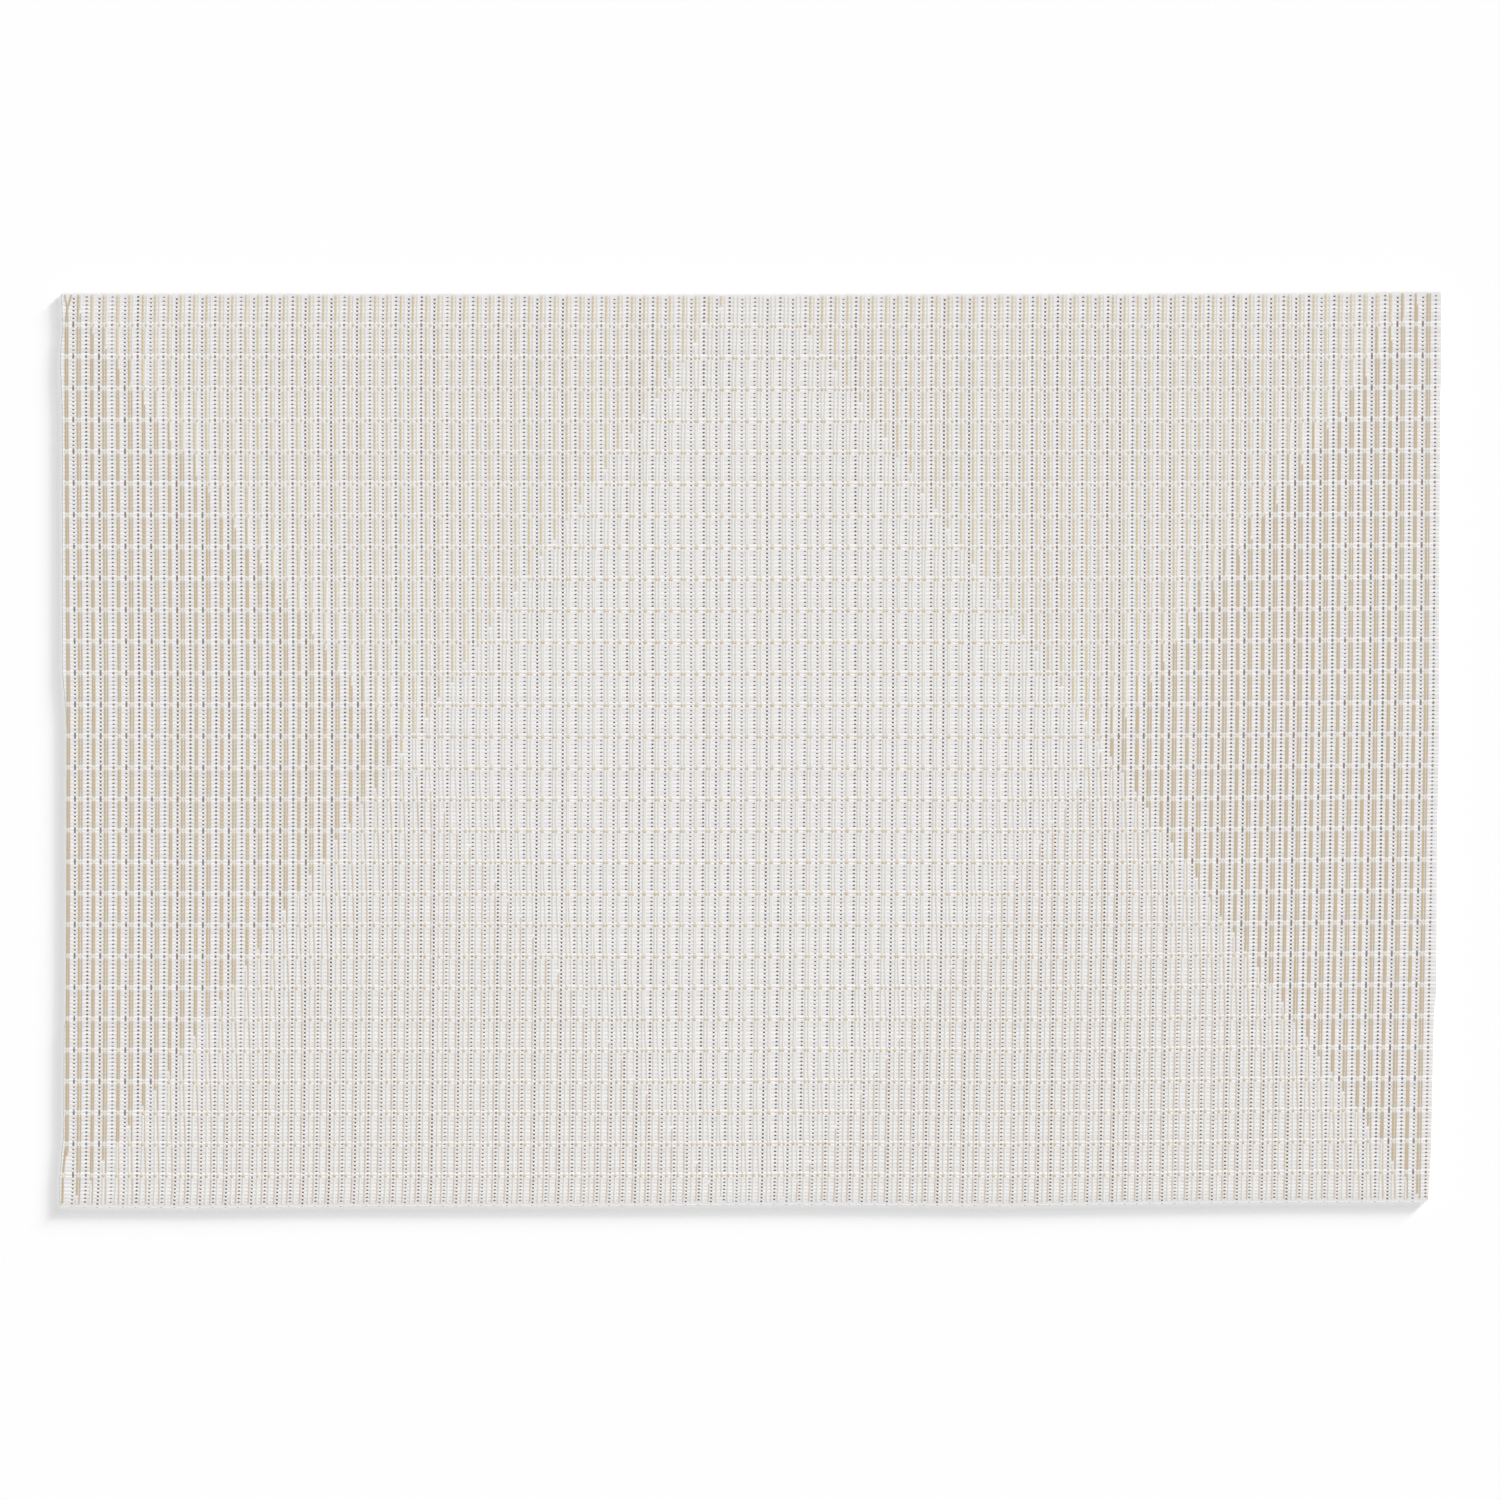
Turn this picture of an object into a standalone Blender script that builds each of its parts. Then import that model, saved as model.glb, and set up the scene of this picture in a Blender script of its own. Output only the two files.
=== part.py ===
"""A woven placemat: one flat piece of coated-yarn cloth, cut from a length and left with no hem.

It lies face up. +X runs along its length, +Y up its width and +Z out of its face, with the origin
under its middle. The underside is flat, because the mat lies on a table. The face has what shows
of the weave from a step away: a raised rib where each pair of tie picks crosses the mat, and a low
soft swell in the cloth between one rib and the next. The outline is the real one, cut by hand and
a little out of square.

Sizes are written in millimetres, as a weaver would write them, and are turned to metres once, when
the mesh is made.
"""

import bpy
import numpy as np

MM = 0.001  # metres in a millimetre

# The mat's size: 18 by 12 inches, cut a little short across
LENGTH = 457.2
WIDTH = 303.2

# Thickness of the cloth at a rib's foot, and of the crushed strip along its cut edges
CLOTH_THICKNESS = 1.2
EDGE_THICKNESS = 1.0
EDGE_STRIP = 1.3

# Rows of tie picks, counted down from the top edge. The weaver beat each gap a little closer
TIE_ROWS = 28
FIRST_TIE = 10.97
TIE_PITCH = 10.51
PITCH_LOSS = 0.0063

# How a tie row and the cloth below it stand up. Down is measured from the tie's own line
ROW_PROFILE = [
    # part of the row, down, height
    ("foot above the rib", -1.30, 0.00),
    ("first tie pick", -0.45, 0.28),
    ("second tie pick", 0.70, 0.17),
    ("foot below the rib", 1.50, 0.00),
    ("swell rises", 3.20, 0.12),
    ("swell crown", 5.00, 0.18),
    ("swell falls", 6.90, 0.12),
]

# How far the cut edges stand out past the plain rectangle, and in where negative
LEFT_EDGE = [
    # up from the bottom corner, out
    (0.0, 0.48),
    (2.0, 0.85),
    (9.5, 0.85),
    (12.2, 0.51),
    (18.5, 0.18),
    (22.8, -0.42),
    (59.3, -0.56),
    (62.0, -1.21),
    (104.0, -1.41),
    (158.0, -1.54),
    (165.0, -1.15),
    (177.0, -0.15),
    (265.0, 0.02),
    (278.0, 0.61),
    (286.0, 0.38),
    (290.7, -0.25),
    (301.6, 0.32),
    (303.2, -0.02),
]
RIGHT_EDGE = [
    # up from the bottom corner, out
    (0.0, -4.30),
    (1.6, -3.40),
    (18.5, -2.45),
    (52.0, -1.80),
    (65.0, -1.47),
    (70.5, -0.72),
    (122.6, -0.48),
    (151.0, 0.15),
    (200.0, 0.28),
    (268.0, 0.58),
    (273.0, 0.81),
    (303.2, 0.85),
]
TOP_EDGE = [
    # along from the left corner, out
    (0.0, 0.23),
    (145.4, 0.03),
    (225.0, -0.17),
    (311.0, 0.07),
    (411.0, 0.33),
    (444.0, 0.73),
    (457.2, 0.70),
]
BOTTOM_EDGE = [
    # along from the left corner, out
    (0.0, 0.60),
    (46.0, 0.80),
    (96.0, 0.30),
    (195.0, 0.00),
    (245.0, -0.30),
    (311.0, 0.13),
    (378.0, -0.76),
    (411.0, -1.10),
    (457.2, -1.20),
]

# Columns of points between the two crushed side strips
BODY_COLUMNS = 11

# White yarn, judged by eye from the mat's ground and given in linear light
CLOTH_COLOUR = (0.73, 0.72, 0.69, 1.0)
CLOTH_ROUGHNESS = 0.6


def read_table(table, place):
    """Reads a table of (place, value) rows at the places given, in straight runs between rows."""
    places, values = np.array(table).T
    return np.interp(place, places, values)


def tie_lines():
    """How far down each tie row's line lies. Each gap is PITCH_LOSS less than the one before."""
    row = np.arange(TIE_ROWS)
    return FIRST_TIE + TIE_PITCH * row - PITCH_LOSS * row * (row - 1) / 2


def rows_of_points():
    """Down and thickness of every row of points, from the top cut edge to the bottom one."""
    swell = [entry for entry in ROW_PROFILE if entry[0].startswith("swell")]
    rows = [(0.0, EDGE_THICKNESS), (EDGE_STRIP, CLOTH_THICKNESS)]
    rows += [(down, CLOTH_THICKNESS + height) for _, down, height in swell]
    for line in tie_lines():
        rows += [(line + down, CLOTH_THICKNESS + height) for _, down, height in ROW_PROFILE]
    rows += [(WIDTH - EDGE_STRIP, CLOTH_THICKNESS), (WIDTH, EDGE_THICKNESS)]
    return np.array(rows).T


def columns_of_points():
    """Share of the length at each column of points: the two side strips, and even steps between."""
    strip = EDGE_STRIP / LENGTH
    return np.concatenate([[0.0], np.linspace(strip, 1.0 - strip, BODY_COLUMNS), [1.0]])


def plan(share_along, share_down):
    """Where the cloth's points lie, seen from above.

    Along is blended from the left edge to the right one at the row's own height, and up from the
    top edge to the bottom one at the column's own place, so the rows bow as the edges do.
    """
    up = (1.0 - share_down) * WIDTH
    left = -LENGTH / 2 - read_table(LEFT_EDGE, up)
    right = LENGTH / 2 + read_table(RIGHT_EDGE, up)
    top = WIDTH / 2 + read_table(TOP_EDGE, share_along * LENGTH)
    bottom = -WIDTH / 2 - read_table(BOTTOM_EDGE, share_along * LENGTH)
    x = left + (right - left) * share_along
    y = top + (bottom - top) * share_down
    return x, y


def face_points():
    """The face as an array of rows by columns of points, in millimetres, centred on the origin."""
    down, thickness = rows_of_points()
    share_along, share_down = np.meshgrid(columns_of_points(), down / WIDTH)
    x, y = plan(share_along, share_down)
    z = np.repeat(thickness[:, None], x.shape[1], axis=1)
    z[:, [0, -1]] = EDGE_THICKNESS
    x -= (x.min() + x.max()) / 2
    y -= (y.min() + y.max()) / 2
    return np.stack([x, y, z], axis=-1)


def grid_faces(numbers):
    """Two triangles for each cell of a grid of point numbers, facing up where rows run down."""
    a, b = numbers[:-1, :-1], numbers[:-1, 1:]
    d, c = numbers[1:, :-1], numbers[1:, 1:]
    triangles = [np.stack([a, d, c], axis=-1), np.stack([a, c, b], axis=-1)]
    return np.concatenate(triangles).reshape(-1, 3).tolist()


def cloth_mesh(name):
    """The closed sheet: the ribbed face, four cut sides and the flat underside.

    The underside has only the rim's points. Each of its strips joins the two side points of one
    row to those of the next, and the first and last strips take in the points along the cut ends.
    """
    face = face_points()
    count = face.shape[0] * face.shape[1]
    top = np.arange(count).reshape(face.shape[:2])
    rim = np.concatenate([top[0, :-1], top[:-1, -1], top[-1, :0:-1], top[:0:-1, 0]])
    under = {int(number): count + place for place, number in enumerate(rim)}

    floor = face.reshape(-1, 3)[rim] * (1.0, 1.0, 0.0)
    points = np.concatenate([face.reshape(-1, 3), floor]) * MM

    faces = grid_faces(top)
    for here, there in zip(rim, np.roll(rim, -1)):
        faces.append([int(here), int(there), under[int(there)], under[int(here)]])
    for row in range(1, face.shape[0] - 2):
        corners = [top[row, 0], top[row, -1], top[row + 1, -1], top[row + 1, 0]]
        faces.append([under[int(number)] for number in corners])
    faces.append([under[int(number)] for number in [*top[0], top[1, -1], top[1, 0]]])
    faces.append([under[int(number)] for number in [top[-2, 0], top[-2, -1], *top[-1, ::-1]]])

    mesh = bpy.data.meshes.new(name)
    mesh.from_pydata(points.tolist(), [], faces)
    return mesh


def cloth_material():
    """White coated yarn: a pale, slightly shiny plastic coat over a thread."""
    material = bpy.data.materials.new("white_coated_yarn")
    material.use_nodes = True
    surface = material.node_tree.nodes["Principled BSDF"]
    surface.inputs["Base Color"].default_value = CLOTH_COLOUR
    surface.inputs["Roughness"].default_value = CLOTH_ROUGHNESS
    surface.inputs["Metallic"].default_value = 0.0
    return material


def clear_scene():
    """Removes whatever the file opened with."""
    for thing in list(bpy.data.objects):
        bpy.data.objects.remove(thing, do_unlink=True)


def main():
    clear_scene()
    mat = bpy.data.objects.new("mat_cloth", cloth_mesh("mat_cloth"))
    mat.data.materials.append(cloth_material())
    bpy.context.collection.objects.link(mat)


main()
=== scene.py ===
"""The look of a woven placemat of coated yarn, laid flat, with every pick and float as a surface.

Lengths are in millimetres until a mesh is made. Down is measured from the mat's top cut edge, and
x runs along the mat, as in the solid. The weave has three things to it:
- picks, the white yarns across the mat. Eight make one row of the repeat, and the first and last
  of each row are drawn tight together, where the warp yarns tie them down;
- dents, the narrow gaps between the warp groups, where an inner yarn shows between picks, its
  brown darkened with painted shade for the shade down in the gaps;
- two warp yarns in each space between dents, one tan and one mauve, each with a pale partner.
  Where the coloured yarn floats on the face its partner is behind, and where it is behind the
  partner floats. Slanting lines, on which they change places, draw the mat's large triangles.
"""

import bpy
import numpy as np
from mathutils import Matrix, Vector


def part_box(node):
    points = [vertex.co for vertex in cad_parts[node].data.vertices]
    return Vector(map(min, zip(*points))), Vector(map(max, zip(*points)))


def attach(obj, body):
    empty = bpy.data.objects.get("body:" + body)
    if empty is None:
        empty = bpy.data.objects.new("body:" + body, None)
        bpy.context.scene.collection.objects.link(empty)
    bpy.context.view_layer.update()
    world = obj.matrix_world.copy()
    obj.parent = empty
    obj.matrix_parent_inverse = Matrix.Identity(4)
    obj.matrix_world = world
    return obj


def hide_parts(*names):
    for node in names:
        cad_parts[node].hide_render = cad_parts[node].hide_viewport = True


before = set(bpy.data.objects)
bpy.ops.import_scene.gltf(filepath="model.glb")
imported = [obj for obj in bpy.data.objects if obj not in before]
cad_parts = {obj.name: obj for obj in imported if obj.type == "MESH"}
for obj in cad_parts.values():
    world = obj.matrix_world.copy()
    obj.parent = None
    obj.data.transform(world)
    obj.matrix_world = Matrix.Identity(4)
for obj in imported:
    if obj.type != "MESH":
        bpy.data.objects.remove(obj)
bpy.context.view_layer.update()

MM = 0.001  # metres in a millimetre
LENGTH = 457.2
WIDTH = 303.2

# The cut edges, as in the solid: how far each stands out past the plain rectangle
LEFT_EDGE = [
    # up from the bottom corner, out
    (0.0, 0.48), (2.0, 0.85), (9.5, 0.85), (12.2, 0.51), (18.5, 0.18), (22.8, -0.42), (59.3, -0.56),
    (62.0, -1.21), (104.0, -1.41), (158.0, -1.54), (165.0, -1.15), (177.0, -0.15), (265.0, 0.02),
    (278.0, 0.61), (286.0, 0.38), (290.7, -0.25), (301.6, 0.32), (303.2, -0.02),
]
RIGHT_EDGE = [
    # up from the bottom corner, out
    (0.0, -4.30), (1.6, -3.40), (18.5, -2.45), (52.0, -1.80), (65.0, -1.47), (70.5, -0.72),
    (122.6, -0.48), (151.0, 0.15), (200.0, 0.28), (268.0, 0.58), (273.0, 0.81), (303.2, 0.85),
]
TOP_EDGE = [
    # along from the left corner, out
    (0.0, 0.23), (145.4, 0.03), (225.0, -0.17), (311.0, 0.07), (411.0, 0.33), (444.0, 0.73),
    (457.2, 0.70),
]
BOTTOM_EDGE = [
    # along from the left corner, out
    (0.0, 0.60), (46.0, 0.80), (96.0, 0.30), (195.0, 0.00), (245.0, -0.30), (311.0, 0.13),
    (378.0, -0.76), (411.0, -1.10), (457.2, -1.20),
]

# Ties: the rows on which all the warp yarns go under two picks
TIE_ROWS = 28
FIRST_TIE = 10.97
TIE_PITCH = 10.51
PITCH_LOSS = 0.0063
PICKS_IN_ROW = 8
# Where the picks of one row meet, as shares of the row from tie to tie
PICK_EDGES = [0.006, 0.145, 0.268, 0.390, 0.513, 0.636, 0.759, 0.880]

# Dents: how far the first and last lie inside the plain rectangle, and the shares between them
DENTS = 108
DENT_LINES = [
    # down, first dent in from the left, last dent in from the right
    (0.0, 3.95, 1.01), (11.5, 3.73, 1.18), (36.0, 3.70, 1.31), (102.0, 4.08, 1.68),
    (135.0, 4.33, 1.90), (201.7, 4.26, 2.80), (268.0, 3.93, 4.00), (294.6, 3.64, 4.48),
    (303.2, 3.24, 4.60),
]
DENT_SHARES = [
    # dent, share of the way from the first to the last; the one before the first has no gap
    (-1, -0.00945), (0, 0.0), (12, 0.11345), (24, 0.22720), (36, 0.34035), (48, 0.45360), (54, 0.50946),
    (60, 0.56513), (72, 0.67645), (84, 0.78707), (96, 0.89748), (107, 1.0),
]

# Heights above the table
CORE_UNDER = 0.24
CORE_TOP = 0.74
TIE_CORE_TOP = 0.80
PICK_FOOT = 1.07
PICK_CREST = 1.10
TIE_RISE = 0.02
FLOAT_CREST = 1.155
FLOAT_SIDE = 1.13
FLOAT_END = 1.14
BIT_CREST = 1.165
BIT_SIDE = 1.14
SELVAGE_HEIGHT = 0.70

rng = np.random.default_rng(11)


def read_table(table, place, column=1):
    """Reads one column of a table at the places given, in straight runs between its rows."""
    columns = np.array(table, dtype=float).T
    return np.interp(place, columns[0], columns[column])


def smooth(share):
    """Smoothstep: 0 below 0, 1 above 1, and 3 s^2 - 2 s^3 between."""
    share = np.clip(share, 0.0, 1.0)
    return share * share * (3.0 - 2.0 * share)


def raw_height(x_along, down):
    """Y of points, before centring: from the top edge to the bottom one by their share of width."""
    top = WIDTH / 2 + read_table(TOP_EDGE, x_along)
    bottom = -WIDTH / 2 - read_table(BOTTOM_EDGE, x_along)
    return top + (bottom - top) * down / WIDTH


def left_side(down):
    """X of the left cut edge, before centring."""
    return -LENGTH / 2 - read_table(LEFT_EDGE, WIDTH - down)


def right_side(down):
    """X of the right cut edge, before centring."""
    return LENGTH / 2 + read_table(RIGHT_EDGE, WIDTH - down)


def centring():
    """Shift from the plain rectangle's middle to the solid's, whose box is centred."""
    low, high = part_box("mat_cloth")
    down = np.linspace(0.0, WIDTH, 400)
    along = np.linspace(0.0, LENGTH, 400)
    x = (high[0] + low[0]) / MM / 2 - (left_side(down).min() + right_side(down).max()) / 2
    top = (WIDTH / 2 + read_table(TOP_EDGE, along)).max()
    bottom = (-WIDTH / 2 - read_table(BOTTOM_EDGE, along)).min()
    return x, (high[1] + low[1]) / MM / 2 - (top + bottom) / 2


SHIFT_X, SHIFT_Y = centring()


# The picks don't follow the bow of the cut edges all the way, and lie lower than that would put them
ROW_LAG = [
    # along from the left corner, lower by at the top, lower by at the bottom
    (32.0, 0.10, 0.12), (96.0, 0.05, 0.50), (162.0, 0.08, 0.70), (228.0, 0.12, 0.83),
    (295.0, 0.28, 0.65), (361.0, 0.40, 0.93), (424.0, 0.37, 0.83),
]


def row_lag(along, down):
    """How much lower the cloth lies: blended from top to bottom, and nothing at the cut edges."""
    share = down / WIDTH
    lag = read_table(ROW_LAG, along, 1) * (1 - share) + read_table(ROW_LAG, along, 2) * share
    return lag * smooth(down / 6.0) * smooth((WIDTH - down) / 12.0)


def cloth(x, down, z):
    """Points of the cloth from x before centring, down and height: an array with a last axis of 3."""
    x, down, z = np.broadcast_arrays(x, down, z)
    along = x + LENGTH / 2
    y = raw_height(along, down + row_lag(along, down))
    return np.stack([x + SHIFT_X, y + SHIFT_Y, z], axis=-1)


def dent_x(dent, down):
    """X of a dent's line at a depth down the mat. Dents may be given between whole numbers."""
    first = -LENGTH / 2 + read_table(DENT_LINES, down, 1)
    last = LENGTH / 2 - read_table(DENT_LINES, down, 2)
    return first + (last - first) * read_table(DENT_SHARES, dent)


def tie_line(row):
    """How far down a tie lies. Each gap is PITCH_LOSS less than the one before."""
    return FIRST_TIE + TIE_PITCH * row - PITCH_LOSS * row * (row - 1) / 2


def pick_lines():
    """Down of every line where two picks meet, with the two cut edges, and the place in the row."""
    rows = np.arange(-1, TIE_ROWS)
    start, pitch = tie_line(rows), tie_line(rows + 1) - tie_line(rows)
    lines = start[:, None] + pitch[:, None] * np.array(PICK_EDGES)
    places = np.tile(np.arange(PICKS_IN_ROW), len(rows))
    lines = np.concatenate([[0.0], lines.ravel()[1:], [WIDTH]])
    places = np.concatenate([[PICKS_IN_ROW], places[1:], [PICKS_IN_ROW]])
    return lines, places


LINES, PLACES = pick_lines()

# The slanting lines on which the warp yarns change places. A space is the strip of cloth to the
# right of its dent, and the first one lies before dent 0. Each line runs straight from its end
# space towards the middle, and the middle spaces float no colour
SPACES = np.arange(-1, DENTS - 1)
TAN_LINES = [
    # first space, last space, down at the first, step to each next one
    (-1, -1, 303.2, 0.0), (0, 50, 299.4, -5.893), (57, 106, 13.3, 5.853),
]
MAUVE_LINES = [
    # first space, last space, down at the first, step to each next one
    (0, 50, 6.3, 5.870), (55, 105, 299.9, -5.940), (106, 106, 0.0, 0.0),
]


def change_lines(table, elsewhere):
    """Down of a change in every space, moved to the nearest pick line."""
    downs = np.full(len(SPACES), elsewhere)
    for first, last, start, step in table:
        in_run = (SPACES >= first) & (SPACES <= last)
        downs[in_run] = start + step * (SPACES[in_run] - first)
    return LINES[np.abs(LINES[:, None] - downs).argmin(axis=0)]


TAN_CHANGE = change_lines(TAN_LINES, 0.0)
MAUVE_CHANGE = change_lines(MAUVE_LINES, WIDTH)
MAUVE_CHANGE[0] = 0.0


# Where the two yarns stand in a space, from the dent on its left, for odd and even dents. They
# lean together or apart as the colours beside them are up or down
YARN_PLACES = {
    # tan up, mauve up: tan odd, tan even, mauve odd, mauve even
    (1, 0): (1.69, 1.46, 3.02, 2.89),
    (1, 1): (1.79, 1.52, 2.36, 2.40),
    (0, 0): (1.25, 1.66, 2.25, 2.12),
    (0, 1): (1.36, 1.82, 3.42, 3.44),
}
LEAN_RUN = 40.0  # past a change, how far it takes the yarns to lean over
EDGE_MAUVE_END = 286.2  # where the first space's mauve yarn goes behind again, near the bottom
# The first space is loose: its two yarns part at the top corner, and follow the bulge at the bottom
LOOSE_YARNS = [
    # down, tan shift, mauve shift
    (0.8, 1.81, -1.10), (6.6, 0.15, 0.10), (7.4, 0.05, 0.15), (284.0, 0.05, 0.15),
    (286.2, -0.30, -0.30), (292.7, -0.85, -0.85), (303.2, -0.65, -0.65),
]


def yarn_x(space, yarn, down):
    """X of a warp yarn's middle: its dent's line and its place beside it.

    Where a colour is up the places are those of the table, and they ease over to the next ones
    within LEAN_RUN past its change, below it for tan and above it for mauve.
    """
    odd = space % 2
    tan_up = smooth(1.0 - (down - TAN_CHANGE[space + 1]) / LEAN_RUN)
    mauve_up = smooth(1.0 - (MAUVE_CHANGE[space + 1] - down) / LEAN_RUN)
    place = 0.0
    for (tan, mauve), offsets in YARN_PLACES.items():
        weight = (tan_up if tan else 1 - tan_up) * (mauve_up if mauve else 1 - mauve_up)
        pair = offsets[2:] if yarn == "mauve" else offsets[:2]
        place = place + weight * np.where(odd == 1, pair[0], pair[1])
    loose = read_table(LOOSE_YARNS, down, 2 if yarn == "mauve" else 1)
    return dent_x(space, down) + place + np.where(space < 0, loose, 0.0)


def colour(hex_code):
    """An sRGB hex colour as linear light with full alpha."""
    values = np.array([int(hex_code[i:i + 2], 16) for i in (0, 2, 4)]) / 255
    linear = np.where(values <= 0.04045, values / 12.92, ((values + 0.055) / 1.055) ** 2.4)
    return (*linear.tolist(), 1.0)


def add_node(tree, kind, links=(), **settings):
    """Adds a node, sets its settings, and links (its input, another node's output)."""
    node = tree.nodes.new(kind)
    for name, value in settings.items():
        if name.startswith("in_"):
            node.inputs[name[3:].replace("_", " ")].default_value = value
        else:
            setattr(node, name, value)
    for target, source in links:
        tree.links.new(source, node.inputs[target])
    return node


def new_material(name, base, roughness):
    """A material with a plain Principled BSDF, and its tree."""
    material = bpy.data.materials.new(name)
    material.use_nodes = True
    surface = material.node_tree.nodes["Principled BSDF"]
    surface.inputs["Base Color"].default_value = colour(base)
    surface.inputs["Roughness"].default_value = roughness
    return material, material.node_tree, surface


def yarn_material(name, base, shade, roughness, bump, pick_bar_shade=0.0):
    """A coated yarn: a soft plastic coat, with the tone attribute mixing base towards shade.

    Tone is carried by the mesh, from 0 for the base colour to 1 for the shade: painted highlight
    and painted shade on the picks, besides random and deeper colour. Fine streaks run along the
    coat, about 0.4 mm apart. Where the yarn floats, each pick under it shows as a soft darker bar
    of painted shade, by the sine of the pick attribute, which rises by one from pick to pick.
    """
    material, tree, surface = new_material(name, base, roughness)
    tone = add_node(tree, "ShaderNodeAttribute", attribute_name="tone")
    place = add_node(tree, "ShaderNodeTexCoord")
    streaks = add_node(tree, "ShaderNodeTexNoise", [("Vector", place.outputs["Object"])],
                       in_Scale=900.0, in_Detail=2.0)
    mixed = add_node(tree, "ShaderNodeMath", [(0, streaks.outputs["Fac"]), (2, tone.outputs["Fac"])],
                     operation="MULTIPLY_ADD")
    mixed.inputs[1].default_value = 0.25
    # Painted shade: a soft darker bar over each pick that lies under a float
    if pick_bar_shade:
        pick = add_node(tree, "ShaderNodeAttribute", attribute_name="pick")
        turns = add_node(tree, "ShaderNodeMath", [(0, pick.outputs["Fac"])], operation="MULTIPLY")
        turns.inputs[1].default_value = 2 * np.pi
        wave = add_node(tree, "ShaderNodeMath", [(0, turns.outputs["Value"])], operation="SINE")
        mixed = add_node(tree, "ShaderNodeMath", [(0, wave.outputs["Value"]), (2, mixed.outputs["Value"])],
                         operation="MULTIPLY_ADD")
        mixed.inputs[1].default_value = pick_bar_shade
    blend = add_node(tree, "ShaderNodeMix", [("Factor", mixed.outputs["Value"])], data_type="RGBA")
    blend.inputs["A"].default_value = colour(base)
    blend.inputs["B"].default_value = colour(shade)
    relief = add_node(tree, "ShaderNodeBump", [("Height", streaks.outputs["Fac"])],
                      in_Strength=bump, in_Distance=0.0001)
    tree.links.new(blend.outputs["Result"], surface.inputs["Base Color"])
    tree.links.new(relief.outputs["Normal"], surface.inputs["Normal"])
    return material


def grid_faces(strips, stations, across):
    """Quads of many separate strips, each a grid of stations by points across, numbered in order."""
    strip = np.arange(strips)[:, None, None] * stations * across
    station = np.arange(stations - 1)[None, :, None] * across
    point = np.arange(across - 1)[None, None, :]
    first = strip + station + point
    return np.stack([first, first + across, first + across + 1, first + 1], axis=-1).reshape(-1, 4)


def map_plan(mesh):
    """The flat map is the plan of the mat, so that what is baked keeps its place."""
    points = np.empty(len(mesh.vertices) * 3, dtype=np.float32)
    mesh.vertices.foreach_get("co", points)
    corners = np.empty(len(mesh.loops), dtype=np.int32)
    mesh.loops.foreach_get("vertex_index", corners)
    place = points.reshape(-1, 3)[corners, :2] / ((LENGTH + 8.0) * MM) + 0.5
    mesh.uv_layers.new(name="OFBake").data.foreach_set("uv", place.ravel())


def strip_mesh(name, points, tone, material, facing=1.0, pick=0.0):
    """One piece from an array of strips by stations by points across by 3, in millimetres.

    Every face is turned to look up, or down where facing is -1. Each point carries a tone and
    a pick number.
    """
    strips, stations, across, _ = points.shape
    flat = points.reshape(-1, 3)
    faces = grid_faces(strips, stations, across)
    corner = flat[faces[:, :4]]
    one, two = corner[:, 2] - corner[:, 0], corner[:, 3] - corner[:, 1]
    up = one[:, 0] * two[:, 1] - one[:, 1] * two[:, 0]
    wrong = up * facing < 0
    faces[wrong] = faces[wrong][:, ::-1]

    mesh = bpy.data.meshes.new(name)
    mesh.vertices.add(len(flat))
    mesh.vertices.foreach_set("co", (flat * MM).astype(np.float32).ravel())
    mesh.loops.add(faces.size)
    mesh.loops.foreach_set("vertex_index", faces.astype(np.int32).ravel())
    mesh.polygons.add(len(faces))
    mesh.polygons.foreach_set("loop_start", np.arange(0, faces.size, 4, dtype=np.int32))
    mesh.polygons.foreach_set("use_smooth", np.zeros(len(faces), dtype=bool))
    mesh.update(calc_edges=True)
    for attribute, values in (("tone", tone), ("pick", pick)):
        layer = mesh.attributes.new(attribute, "FLOAT", "POINT")
        layer.data.foreach_set("value", np.broadcast_to(values, points.shape[:3]).astype(np.float32).ravel())
    map_plan(mesh)
    mesh.materials.append(material)
    piece = bpy.data.objects.new(name, mesh)
    bpy.context.collection.objects.link(piece)
    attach(piece, "root")
    return piece


def slow_noise(rows, columns, knots):
    """Even random values from 0 to 1 at knots down each column, joined by straight runs."""
    values = rng.random((knots, columns))
    at = np.linspace(0, knots - 1, rows)
    lower = np.minimum(at.astype(int), knots - 2)
    share = (at - lower)[:, None]
    return values[lower] * (1 - share) + values[lower + 1] * share


# How the picks part at a dent: the gap's half width where it ends and where it is widest open, and
# how far the picks reach away from the line between them and over it
GAP_SHOULDER = 0.37
GAP_HALF = 0.28
ODD_REACH = (0.55, -0.03)
EVEN_REACH = (-0.20, 0.72)
OPENINGS = {
    # tan up, mauve up: share of the usual opening at odd and even dents, and then at a tie, in
    # millimetres, odd up, odd down, even up, even down
    (1, 0): (0.84, 0.92, 0.62, 0.40, -0.15, 0.95),
    (1, 1): (0.92, 0.90, 0.60, 0.38, 1.00, 0.90),
    (0, 0): (0.84, 0.88, 0.08, 0.08, -0.15, 0.80),
    (0, 1): (0.80, 0.86, 0.40, 0.26, -0.15, 0.92),
}


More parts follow.
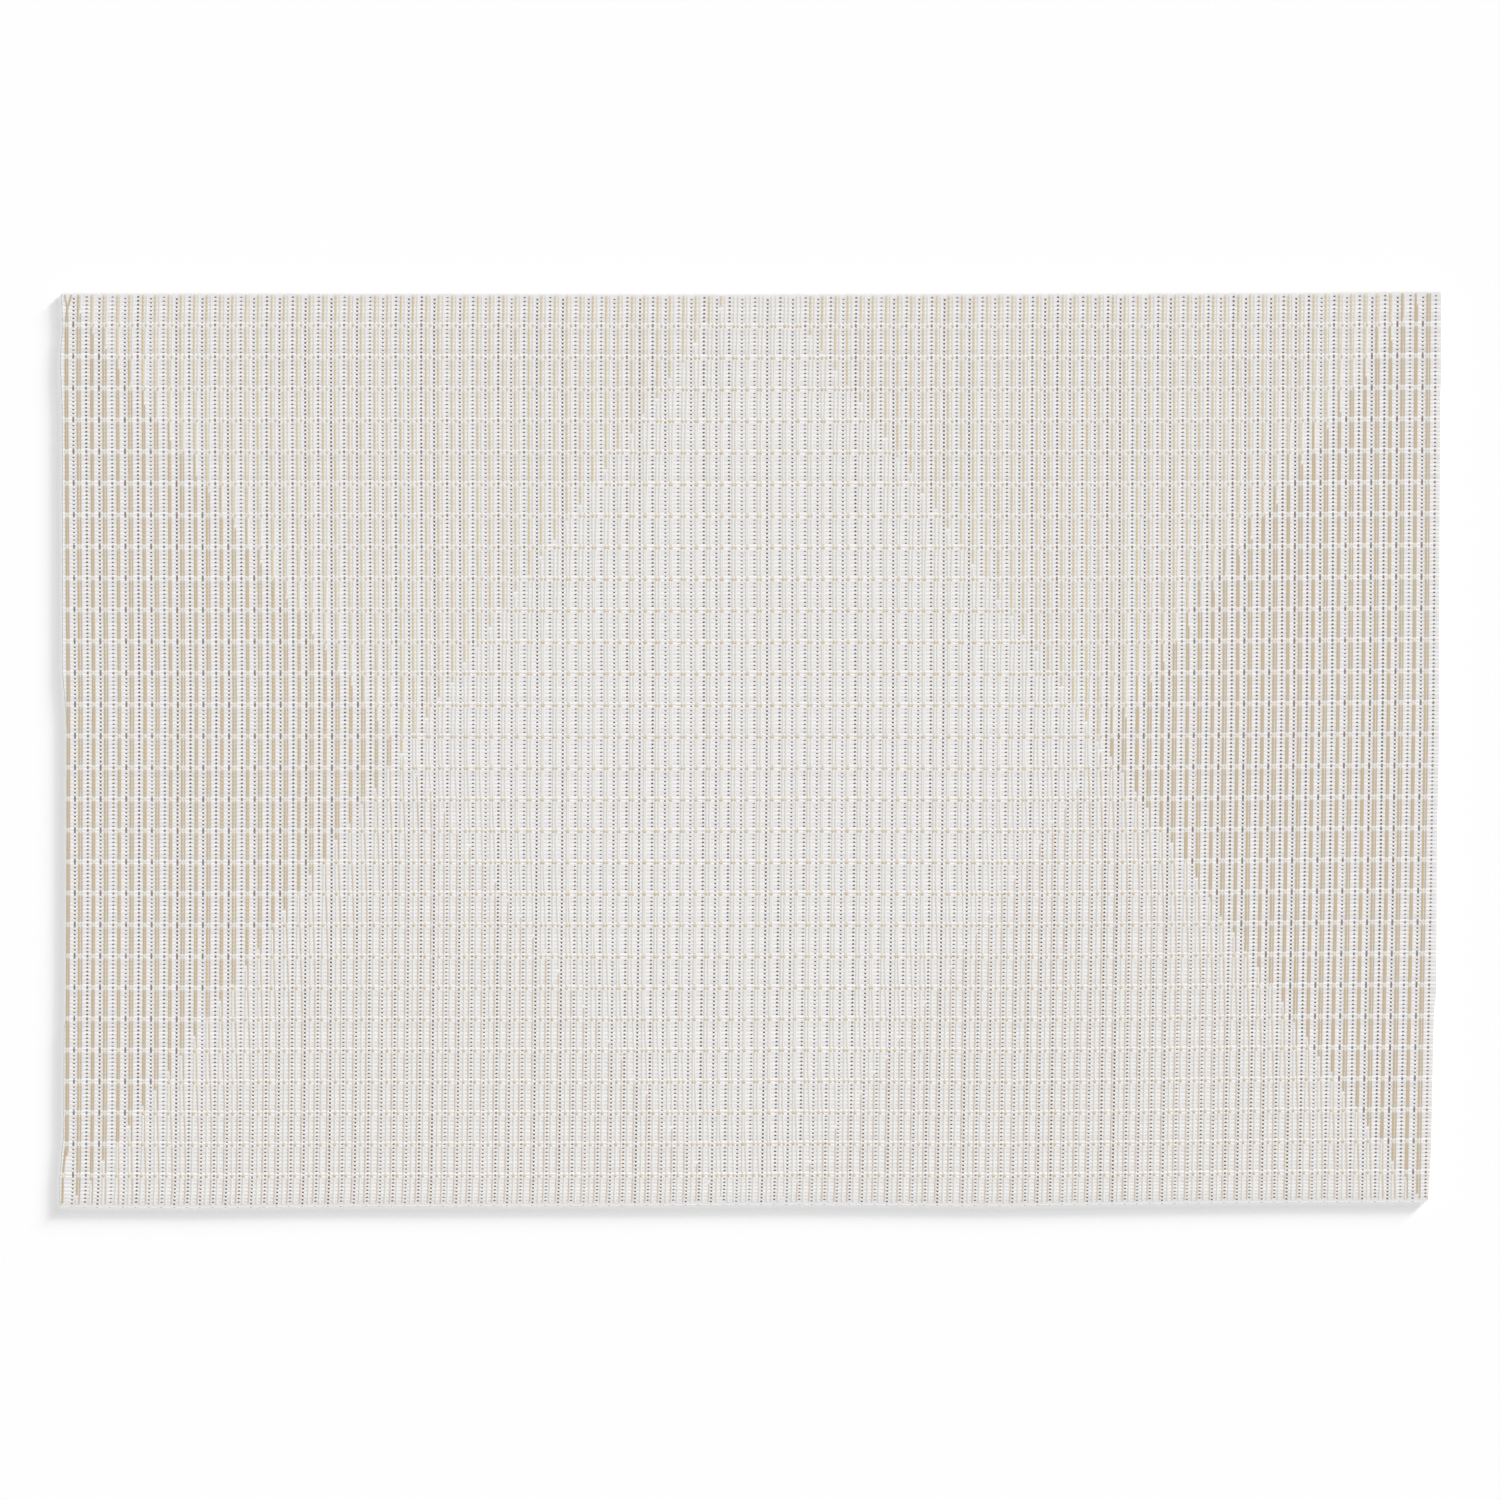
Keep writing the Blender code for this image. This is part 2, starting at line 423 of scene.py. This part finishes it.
def openings():
    """How far the upper and the lower pick draw back from each line at each dent.

    At an odd dent the upper pick draws back and the gap points up, at an even one the lower pick
    does and the gap points down. Ties have their own sizes, by which colours are up beside them.
    """
    dents = np.arange(DENTS)
    odd = (dents % 2 == 1)[None, :]
    open_share = 0.62 + 0.36 * rng.random(DENTS)[None, :] + 0.28 * slow_noise(len(LINES), DENTS, 14)
    up = np.where(odd, ODD_REACH[0], EVEN_REACH[0]) * open_share
    down = np.where(odd, ODD_REACH[1], EVEN_REACH[1]) * open_share

    space = np.minimum(dents, SPACES[-1])
    tan_up = LINES[:, None] < TAN_CHANGE[space + 1][None, :]
    mauve_up = LINES[:, None] > MAUVE_CHANGE[space + 1][None, :]
    tie = (PLACES == 0)[:, None]
    for (tan, mauve), (odd_share, even_share, *tied) in OPENINGS.items():
        here = (tan_up == bool(tan)) & (mauve_up == bool(mauve))
        usual = np.where(here, np.where(odd, odd_share, even_share), 1.0)
        odd_up, odd_down, even_up, even_down = tied
        up = np.where(here & tie, np.where(odd, odd_up, even_up) * open_share, up * usual)
        down = np.where(here & tie, np.where(odd, odd_down, even_down) * open_share, down * usual)
    up[0], down[-1] = 0.0, 0.0
    down[0], up[-1] = 0.08, 0.22
    return up, down


# How each pick of a row stands: its height over the usual crest, how far down it the crest lies
# as a share of the pick, and its tone on the crest and at its two feet. The crest tone is painted
# highlight, dimmed with painted shade on the second and seventh picks, and the foot tone is painted shade.
PICK_FORMS = [
    # height, crest's place, crest tone (painted highlight), foot tone (painted shade)
    (TIE_RISE, 0.27, -0.05, 0.40), (0.00, 0.55, 0.26, 0.56), (0.00, 0.50, 0.00, 0.60),
    (0.00, 0.50, -0.12, 0.60), (0.00, 0.50, -0.12, 0.60), (0.00, 0.50, 0.00, 0.60),
    (0.00, 0.48, 0.26, 0.56), (TIE_RISE, 0.55, -0.12, 0.42),
]
# Painted shade beside each dent: none on its left and a little on its right
BESIDE_DENT_SHADE_TONES = (0.0, 0.12)  # added to the left and to the right of a dent
CUT_CREST = 0.3  # how far from the cut edge the crest of the cut pick lies, as a share of it
CUT_FEET = (1.02, 1.10)  # heights of the face along the top cut edge and the bottom one
# Painted highlight on the top cut pick, which faces the lamps, and painted shade on the bottom one
CUT_LIGHT_AND_SHADE_TONES = ((0.1, 0.1), (0.7, 0.4))  # the last two tones of the top cut pick and the bottom one


def pick_strips(up, down):
    """The face of every pick: strips from the left edge to the right, three points across.

    Stations are the two cut edges and four at each dent, two on either side of its line. A pick's
    own edges follow the lines that it shares with its neighbours, drawn back at the inner two.
    """
    picks = len(LINES) - 1
    upper, lower = LINES[:-1, None], LINES[1:, None]
    middle = (upper + lower) / 2
    dents = dent_x(np.arange(DENTS)[None, :], middle)
    sides = np.array([-GAP_SHOULDER, -GAP_HALF, GAP_HALF, GAP_SHOULDER])
    x = (dents[:, :, None] + sides).reshape(picks, -1)
    x = np.concatenate([left_side(middle) + 0.18, x, right_side(middle) - 0.2], axis=1)

    drawn = np.array([0.0, 1.0, 1.0, 0.0])
    draw_down = np.zeros_like(x)
    draw_up = np.zeros_like(x)
    draw_down[:, 1:-1] = (down[:-1, :, None] * drawn).reshape(picks, -1)
    draw_up[:, 1:-1] = (up[1:, :, None] * drawn).reshape(picks, -1)
    top_line = upper + draw_down
    bottom_line = lower - draw_up
    forms = np.array(PICK_FORMS)[np.concatenate([[7], PLACES[1:-1]]).clip(0, 7)]
    forms[0, 1], forms[-1, 1] = CUT_CREST, 1.0 - CUT_CREST
    pinched = top_line > bottom_line
    half_way = (top_line + bottom_line) / 2
    top_line = np.where(pinched, half_way, top_line)
    bottom_line = np.where(pinched, half_way, bottom_line)
    crest_line = top_line + (bottom_line - top_line) * forms[:, 1:2]
    crest = PICK_CREST + forms[:, :1] + 0.003 * rng.standard_normal(x.shape)
    foot_above, foot_below = np.full_like(x, PICK_FOOT), np.full_like(x, PICK_FOOT)
    foot_above[0], foot_below[-1] = CUT_FEET
    crest[-1] = PICK_FOOT
    points = np.stack([
        cloth(x, top_line, foot_above),
        cloth(x, crest_line, crest),
        cloth(x, bottom_line, foot_below),
    ], axis=2)

    beside = np.zeros(x.shape[1])
    beside[1:-1] = np.tile(np.repeat(BESIDE_DENT_SHADE_TONES, 2), DENTS)
    # Tone: painted highlight on the crests, painted shade at the feet and right of each dent, the cut picks'
    # painted light and shade, then random differences
    tone = forms[:, [3, 2, 3]][:, None, :] + beside[None, :, None]
    tone[0, :, :2], tone[-1, :, 1:] = CUT_LIGHT_AND_SHADE_TONES
    tone = tone + 0.04 * rng.standard_normal((picks, 1, 1)) + 0.04 * rng.standard_normal((picks, x.shape[1], 1))
    return points, tone


def core(material, side_material):
    """The cloth's inner layer: a thin closed sheet inside the cut edges, dark on its face.

    A grid of points is raised to the two heights, and a wall joins them round the rim. The dark
    brown of its face is the inner yarn's colour with painted shade for the shade in the gaps.
    """
    down, share = np.meshgrid(np.linspace(0.3, WIDTH - 0.4, 90), np.linspace(0, 1, 60), indexing="ij")
    left, right = left_side(down) + 0.5, right_side(down) - 0.5
    x = left + (right - left) * share
    top = cloth(x, down, np.full_like(x, CORE_TOP)).reshape(-1, 3)
    under = cloth(x, down, np.full_like(x, CORE_UNDER)).reshape(-1, 3)
    number = np.arange(x.size).reshape(x.shape)
    a, b, c, d = number[:-1, :-1], number[1:, :-1], number[1:, 1:], number[:-1, 1:]
    face = np.stack([a, b, c, d], axis=-1).reshape(-1, 4)
    rim = np.concatenate([number[0, :-1], number[:-1, -1], number[-1, :0:-1], number[:0:-1, 0]])
    following = np.roll(rim, -1)
    wall = np.stack([rim, following, following + x.size, rim + x.size], axis=-1)
    faces = np.concatenate([face, face[:, ::-1] + x.size, wall])
    mesh = bpy.data.meshes.new("mat_core")
    mesh.from_pydata((np.concatenate([top, under]) * MM).tolist(), [], faces.tolist())
    mesh.materials.append(material)
    mesh.materials.append(side_material)
    slots = np.ones(len(faces), dtype=np.int32)
    slots[:len(face)] = 0
    mesh.polygons.foreach_set("material_index", slots)
    map_plan(mesh)
    piece = bpy.data.objects.new("mat_core", mesh)
    bpy.context.collection.objects.link(piece)
    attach(piece, "root")
    return piece


# The stations along a float: share of its length, width, and how far it has risen
FLOAT_FORM = [(0.0, 0.70, 0.0), (0.04, 0.95, 0.9), (0.5, 1.0, 1.0), (0.96, 0.95, 0.9), (1.0, 0.70, 0.0)]
FLOAT_AFTER_TIE = 0.58
FLOAT_BEFORE_TIE = 0.86
CUT_START = 1.0  # how far below the top edge the first floats start
CUT_END = 1.2  # how far above the bottom edge the last floats end
TAN_YARN = 0.72
MAUVE_YARN = 0.56
PALE_YARN = 0.66


def float_runs(change, colour_above):
    """Space, start, end and colour of every run between ties.

    Each space has one run in each row, cut in two where the colours change in it, with one pick
    between the two parts.
    """
    rows = np.arange(-1, TIE_ROWS)
    start = tie_line(rows) + FLOAT_AFTER_TIE
    start[0] = CUT_START
    end = tie_line(rows + 1) - FLOAT_BEFORE_TIE
    end[-1] = WIDTH - CUT_END
    place, row = np.meshgrid(np.arange(len(SPACES)), np.arange(len(rows)), indexing="ij")
    space, start, end = SPACES[place.ravel()], start[row.ravel()], end[row.ravel()]
    at = change[space + 1]
    one_pick = TIE_PITCH / PICKS_IN_ROW
    above_end = np.minimum(end, at - 0.1)
    below_start = np.maximum(start, at + np.where(at > start, one_pick, 0.0))
    runs = []
    for begin, stop, coloured in ((start, above_end, colour_above), (below_start, end, not colour_above)):
        if coloured and not colour_above:
            stop = np.where(space < 0, np.minimum(stop, EDGE_MAUVE_END), stop)
        kept = stop - begin > 0.6
        runs.append((space[kept], begin[kept], stop[kept], coloured))
    return runs


def lens_strips(space, yarn, down, width, form, crest, side, end):
    """Warp strips on the face, three points across: the middle stands at crest, the sides lower.

    Form gives, at each station, the share of the length, of the width, and of the rise from the
    end height. Down holds every strip's start and stop.
    """
    share, wide, risen = np.array(form).T
    begin, stop = down
    along = begin[:, None] + (stop - begin)[:, None] * share
    middle = yarn_x(space[:, None], yarn, along)
    half = width / 2 * wide
    top = end + (crest - end) * risen + np.zeros_like(middle)
    low = end - 0.01 + (side - end + 0.01) * risen + np.zeros_like(middle)
    points = np.stack([
        cloth(middle - half, along, low),
        cloth(middle, along, top),
        cloth(middle + half, along, low),
    ], axis=2)
    pick = np.interp(along, LINES, np.arange(len(LINES)))
    return points, pick[:, :, None]


# Where all the warp yarns are tied down, a short bit of each shows between the two tie picks: a
# pointed one of the colour where the pale yarn floats, and a square pale one where the colour does
DOT_FORM = [(0.0, 0.40, 0.0), (0.3, 1.0, 1.0), (0.7, 1.0, 1.0), (1.0, 0.40, 0.0)]
BIT_FORM = [(0.0, 0.90, 0.3), (0.5, 1.0, 1.0), (1.0, 0.90, 0.3)]
DOT_HALF = 0.66
DOT_WIDTHS = {"tan": 0.98, "mauve": 0.82}


def tie_marks(change, colour_above):
    """Space, start and stop of the coloured dots and of the pale bits at the ties."""
    place, row = np.meshgrid(np.arange(len(SPACES)), np.arange(TIE_ROWS), indexing="ij")
    space, at = SPACES[place.ravel()], tie_line(row.ravel())
    floats = (at < change[space + 1]) == colour_above
    dots = (space[~floats], (at[~floats] - DOT_HALF, at[~floats] + DOT_HALF))
    bits = (space[floats], (at[floats] - FLOAT_BEFORE_TIE, at[floats] + FLOAT_AFTER_TIE))
    return dots, bits


def depth(space, begin, stop):
    """How much deeper the colour of a float looks where both colours float side by side.

    It grows towards the mat's two ends, and is greatest in the loose first space.
    """
    both = (begin < TAN_CHANGE[space + 1]) & (stop > MAUVE_CHANGE[space + 1])
    from_middle = np.abs(dent_x(space, begin)) / (LENGTH / 2)
    growing = 0.40 + 0.45 * from_middle ** 4 + np.where(space > DENTS // 2, 0.55, 0.0)
    return np.where(both, np.where(space < 0, 1.4, growing), -0.2)


def add_warp(name, parts, material, facing=1.0, deeper=0.0):
    """Joins the strips of a yarn that have the same stations into one piece.

    Deeper is added to the tone of every strip, which also varies a little from yarn to yarn.
    """
    points = np.concatenate([part[0] for part in parts])
    pick = np.concatenate([part[1] for part in parts])
    tone = 0.22 + 0.12 * rng.standard_normal(len(points)) + deeper
    return strip_mesh(name, points, tone[:, None, None], material, facing, pick)


def tube(name, x, down, height, radius, rise, material, sides=8):
    """A yarn along a path of points: oval rings of an even number of sides, closed at both ends.

    Each ring stands square to the path, which stays level: its first half axis, radius, is along
    the path's normal in plan and its second, rise, is straight up.
    """
    path = cloth(x, down, height)
    along = np.gradient(path, axis=0)
    normal = np.stack([along[:, 1], -along[:, 0], np.zeros(len(path))], axis=-1)
    normal /= np.linalg.norm(normal, axis=1, keepdims=True)
    turn = np.linspace(0, 2 * np.pi, sides, endpoint=False)
    size = np.full(len(path), 1.0)
    size[[0, -1]] = 0.6
    wide, tall = (radius * size)[:, None, None], (rise * size)[:, None, None]
    ring = (path[:, None] + wide * np.cos(turn)[None, :, None] * normal[:, None]
            + tall * np.sin(turn)[None, :, None] * np.array([0.0, 0.0, 1.0]))
    number = np.arange(len(path) * sides).reshape(len(path), sides)
    here, there = number[:-1], number[1:]
    quads = np.stack([here, np.roll(here, -1, 1), np.roll(there, -1, 1), there], axis=-1).reshape(-1, 4)
    faces = quads.tolist() + [number[0, ::-1].tolist(), number[-1].tolist()]
    mesh = bpy.data.meshes.new(name)
    mesh.from_pydata((ring.reshape(-1, 3) * MM).tolist(), [], faces)
    mesh.polygons.foreach_set("use_smooth", np.ones(len(faces), dtype=bool))
    tone = mesh.attributes.new("tone", "FLOAT", "POINT")
    tone.data.foreach_set("value", np.full(ring.shape[0] * sides, 0.25, dtype=np.float32))
    map_plan(mesh)
    mesh.materials.append(material)
    piece = bpy.data.objects.new(name, mesh)
    bpy.context.collection.objects.link(piece)
    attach(piece, "root")
    return piece


SELVAGE_RADIUS = 0.28
CUT_PICK_RADIUS = 0.34
RIM_HEIGHT = 0.57
RIM_RISE = 0.47


def rim(white, pale):
    """The yarns that round off the four sides, between the face and the back.

    The left one swells and thins about every two picks. The others are even.
    """
    down = np.linspace(0.5, WIDTH - 0.5, 700)
    pick = np.interp(down, LINES, np.arange(len(LINES)))
    swell = SELVAGE_RADIUS + 0.05 * np.sin(np.pi * pick) * slow_noise(len(down), 1, 40)[:, 0]
    pieces = [
        tube("left_selvage", left_side(down) + SELVAGE_RADIUS, down, SELVAGE_HEIGHT, swell, 0.42, white),
        tube("right_selvage", right_side(down) - 0.22, down, SELVAGE_HEIGHT, 0.35, 0.38, pale),
    ]
    share = np.linspace(0.0, 1.0, 260)
    for name, edge in (("top_cut_pick", CUT_PICK_RADIUS), ("bottom_cut_pick", WIDTH - CUT_PICK_RADIUS)):
        left, right = left_side(edge) + 0.3, right_side(edge) - 0.3
        x = left + (right - left) * share
        pieces.append(tube(name, x, edge, RIM_HEIGHT, CUT_PICK_RADIUS, RIM_RISE, white))
    return pieces


# The back, which lies on the table: how far its picks and floats stand above it
BACK_PICK_FOOT = 0.20
BACK_PICK_CREST = 0.12
BACK_FLOAT_SIDE = 0.08
BACK_FLOAT_CREST = 0.0
BACK_STATIONS = 40


def back_pick_strips():
    """The back of every pick: strips from the left edge to the right with a station at each dent."""
    upper, lower = LINES[:-1, None], LINES[1:, None]
    middle = (upper + lower) / 2
    dents = dent_x(np.arange(0, DENTS, 2)[None, :], middle)
    x = np.concatenate([left_side(middle) + 0.3, dents, right_side(middle) - 0.2], axis=1)
    return np.stack([
        cloth(x, upper, BACK_PICK_FOOT), cloth(x, middle, BACK_PICK_CREST), cloth(x, lower, BACK_PICK_FOOT),
    ], axis=2)


def back_floats(yarn, change, colour_above):
    """The yarns behind: each space has one strip above its change and one below it.

    Behind a coloured float lies its pale partner, and behind a pale one the coloured yarn. Gives
    the strips and whether each is coloured.
    """
    even = np.linspace(0.0, 1.0, BACK_STATIONS)
    form = np.stack([even, np.ones(BACK_STATIONS), np.ones(BACK_STATIONS)], axis=1)
    at = change[SPACES + 1]
    top, bottom = np.full_like(at, 0.5), np.full_like(at, WIDTH - 0.5)
    parts = []
    for begin, stop, coloured in ((top, at, not colour_above), (at, bottom, colour_above)):
        kept = stop - begin > 1.0
        part = lens_strips(SPACES[kept], yarn, (begin[kept], stop[kept]), PALE_YARN, form,
                           BACK_FLOAT_CREST, BACK_FLOAT_SIDE, BACK_FLOAT_SIDE)
        parts.append((part, coloured))
    return parts


def tie_cores():
    """The inner yarn under each tie, nearer the face: a strip from side to side at every tie."""
    down = tie_line(np.arange(TIE_ROWS))[:, None] + np.array([-1.3, 1.3])
    share = np.linspace(0.0, 1.0, 24)
    left, right = left_side(down) + 0.8, right_side(down) - 0.8
    x = left[:, None] + (right - left)[:, None] * share[None, :, None]
    return cloth(x, down[:, None], TIE_CORE_TOP)


def main():
    white = yarn_material("white_vinyl_coated_weft", "F2F1F1", "CFCCCB", 0.42, 0.15)
    pale = yarn_material("pale_vinyl_coated_warp", "E9E6E1", "DDD9D1", 0.5, 0.15, 0.15)
    tan = yarn_material("tan_vinyl_coated_warp", "D6C6A3", "BEA982", 0.42, 0.2, 0.4)
    mauve = yarn_material("mauve_vinyl_coated_warp", "D8C9B6", "C1AF9A", 0.42, 0.2, 0.4)
    # The inner yarn's brown, darkened as painted shade for the shade down in the gaps at the dents
    dark, _, inner = new_material("inner_yarn_painted_shade", "80634C", 0.9)
    inner.inputs["Specular IOR Level"].default_value = 0.0
    # Painted shade for the slits at the ties, lighter than the core's, over the inner yarn's brown
    tie_dark, _, inner = new_material("tie_inner_yarn_painted_shade", "B9A596", 0.9)
    inner.inputs["Specular IOR Level"].default_value = 0.0

    up, down = openings()
    picks, tone = pick_strips(up, down)
    places = np.concatenate([[7], PLACES[1:-1]])
    tied = (places == 0) | (places == 7)
    half = np.arange(len(picks)) < len(picks) // 2
    pieces = [
        strip_mesh("tie_picks", picks[tied], tone[tied], white),
        strip_mesh("upper_ground_picks", picks[~tied & half], tone[~tied & half], white),
        strip_mesh("lower_ground_picks", picks[~tied & ~half], tone[~tied & ~half], white),
    ]
    pale_floats, pale_bits = [], []
    for yarn, change, above, width, material in (
        ("tan", TAN_CHANGE, True, TAN_YARN, tan), ("mauve", MAUVE_CHANGE, False, MAUVE_YARN, mauve),
    ):
        for space, begin, stop, coloured in float_runs(change, above):
            wide = width if coloured else PALE_YARN
            part = lens_strips(space, yarn, (begin, stop), wide, FLOAT_FORM, FLOAT_CREST, FLOAT_SIDE, FLOAT_END)
            if coloured:
                pieces.append(add_warp(yarn + "_floats", [part], material, deeper=depth(space, begin, stop)))
            else:
                pale_floats.append(part)
        (dot_space, dot_down), (bit_space, bit_down) = tie_marks(change, above)
        dots = lens_strips(dot_space, yarn, dot_down, DOT_WIDTHS[yarn], DOT_FORM, BIT_CREST, BIT_SIDE, FLOAT_END)
        pieces.append(add_warp(yarn + "_dots", [dots], material))
        pale_bits.append(lens_strips(bit_space, yarn, bit_down, width, BIT_FORM, BIT_CREST, BIT_SIDE, FLOAT_END))
    pieces.append(add_warp("pale_floats", pale_floats, pale))
    pieces.append(add_warp("pale_bits", pale_bits, pale, deeper=0.9))

    pieces.append(strip_mesh("tie_cores", tie_cores(), 0.3, tie_dark))
    pieces += rim(white, pale)
    pieces.append(strip_mesh("back_picks", back_pick_strips(), 0.3, white, -1.0))
    back_pale = []
    for yarn, change, above, material in (("tan", TAN_CHANGE, True, tan), ("mauve", MAUVE_CHANGE, False, mauve)):
        for part, coloured in back_floats(yarn, change, above):
            if coloured:
                pieces.append(add_warp(yarn + "_back_floats", [part], material, -1.0))
            else:
                back_pale.append(part)
    pieces.append(add_warp("pale_back_floats", back_pale, pale, -1.0))

    core_piece = core(dark, white)
    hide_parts("mat_cloth")


# Lamps: what each gives a level white surface, its width in degrees, and its height above the
# table, from the upper right. The low one draws the soft shadow on the left and bottom sides
LAMPS = [
    # name, strength, width, elevation
    ("low_window", 0.24, 9.0, 9.0), ("high_window", 0.10, 16.0, 17.0), ("overhead_softbox", 0.578, 30.0, 90.0),
]
SKY = 0.06


def floor_and_light():
    """A white table lit from below too, a broad low light from the upper right, and an even sky."""
    material, _, surface = new_material("lit_white_table", "FFFFFF", 0.9)
    surface.inputs["Specular IOR Level"].default_value = 0.0
    surface.inputs["Emission Color"].default_value = (1, 1, 1, 1)
    surface.inputs["Emission Strength"].default_value = 0.035
    mesh = bpy.data.meshes.new("floor")
    half = 4.0
    mesh.from_pydata([(-half, -half, 0), (half, -half, 0), (half, half, 0), (-half, half, 0)], [], [(0, 1, 2, 3)])
    mesh.materials.append(material)
    floor = bpy.data.objects.new("floor", mesh)
    bpy.context.collection.objects.link(floor)

    for name, strength, width, elevation in LAMPS:
        lamp = bpy.data.lights.new(name, "SUN")
        up = np.sin(np.radians(elevation))
        level = np.cos(np.radians(elevation))
        lamp.energy = strength * np.pi / up
        lamp.angle = np.radians(width)
        holder = bpy.data.objects.new(name, lamp)
        holder.rotation_euler = Vector((-0.77 * level, -0.74 * level, -up)).to_track_quat("-Z", "Y").to_euler()
        bpy.context.collection.objects.link(holder)

    world = bpy.data.worlds.new("studio")
    world.use_nodes = True
    world.node_tree.nodes["Background"].inputs["Color"].default_value = (1, 1, 1, 1)
    world.node_tree.nodes["Background"].inputs["Strength"].default_value = SKY
    bpy.context.scene.world = world
    bpy.context.scene.view_settings.view_transform = "Standard"


def camera():
    """Straight down on the mat, with a long lens, framed as in the photograph."""
    frame_width = 1500 * 0.332 * MM
    distance = 2.2
    data = bpy.data.cameras.new("camera")
    data.sensor_width = 36.0
    data.lens = 36.0 * (distance - 0.0012) / frame_width
    camera_object = bpy.data.objects.new("camera", data)
    camera_object.location = (-0.5 * 0.332 * MM, -1.0 * 0.332 * MM, distance)
    bpy.context.collection.objects.link(camera_object)
    bpy.context.scene.camera = camera_object


main()
floor_and_light()
camera()
